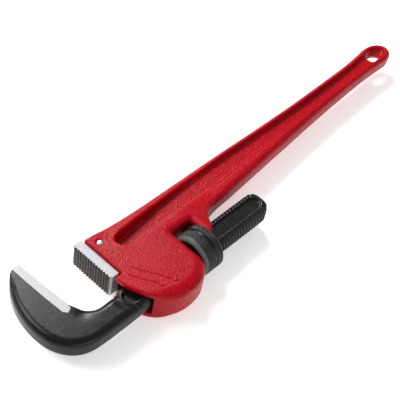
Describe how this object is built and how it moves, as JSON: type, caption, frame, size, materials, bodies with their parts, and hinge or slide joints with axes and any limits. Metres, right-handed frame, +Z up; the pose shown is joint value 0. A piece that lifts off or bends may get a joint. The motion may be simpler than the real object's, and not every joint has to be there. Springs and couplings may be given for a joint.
{
  "type": "pipe wrench",
  "caption": "Straight cast-handle pipe wrench with a sliding hook jaw, toothed heel jaw and knurled adjusting nut, for gripping and turning round pipe",
  "frame": {"origin": "under the middle of the wrench's box, at the height of its lowest point, with the wrench lying on its side", "axes": "+X from the hook jaw to the end of the handle, +Y from the shank to the spine of the handle, +Z up through the thickness, out of the side that carries the pin head"},
  "size_m": [0.6712, 0.151, 0.054],
  "materials": {
    "handle": "red gloss enamel over rough cast iron",
    "heel_jaw": "ground sides, dark hardened teeth",
    "hook_jaw": "black satin forged steel, ground tooth edges",
    "adjusting_nut": "black satin, diamond knurl",
    "flat_spring": "tempered spring steel",
    "coil_spring": "spring wire",
    "heel_jaw_pin": "bright polished steel",
    "spring_rivet": "plain steel"
  },
  "bodies": {
    "frame": {"handle": "handle", "heel_jaw": "heel_jaw", "heel_jaw_pin": "heel_jaw_pin", "coil_spring": "coil_spring", "spring_rivet": "spring_rivet"},
    "spring_leaf": {"flat_spring": "flat_spring"},
    "jaw": {"hook_jaw": "hook_jaw"},
    "nut": {"adjusting_nut": "adjusting_nut"}
  },
  "joints": [
    {"name": "jaw_rock", "type": "hinge", "parent": "frame", "child": "spring_leaf", "pos_m": [-0.20142, -0.01546, 0.027], "axis": [0, 0, 1], "range_deg": [0, 1], "stiffness_Nm_per_rad": 60},
    {"name": "jaw_slide", "type": "slide", "parent": "spring_leaf", "child": "jaw", "axis": [-1, 0, 0], "range_m": [-0.0525, 0.033]},
    {"name": "nut_spin", "type": "hinge", "parent": "spring_leaf", "child": "nut", "pos_m": [-0.122, -0.03506, 0.027], "axis": [1, 0, 0], "range_deg": [-3725, 2342]}
  ],
  "couplings": [
    {"joint": "nut_spin", "follows": "jaw_slide", "rad_per_m": 1236.8}
  ]
}
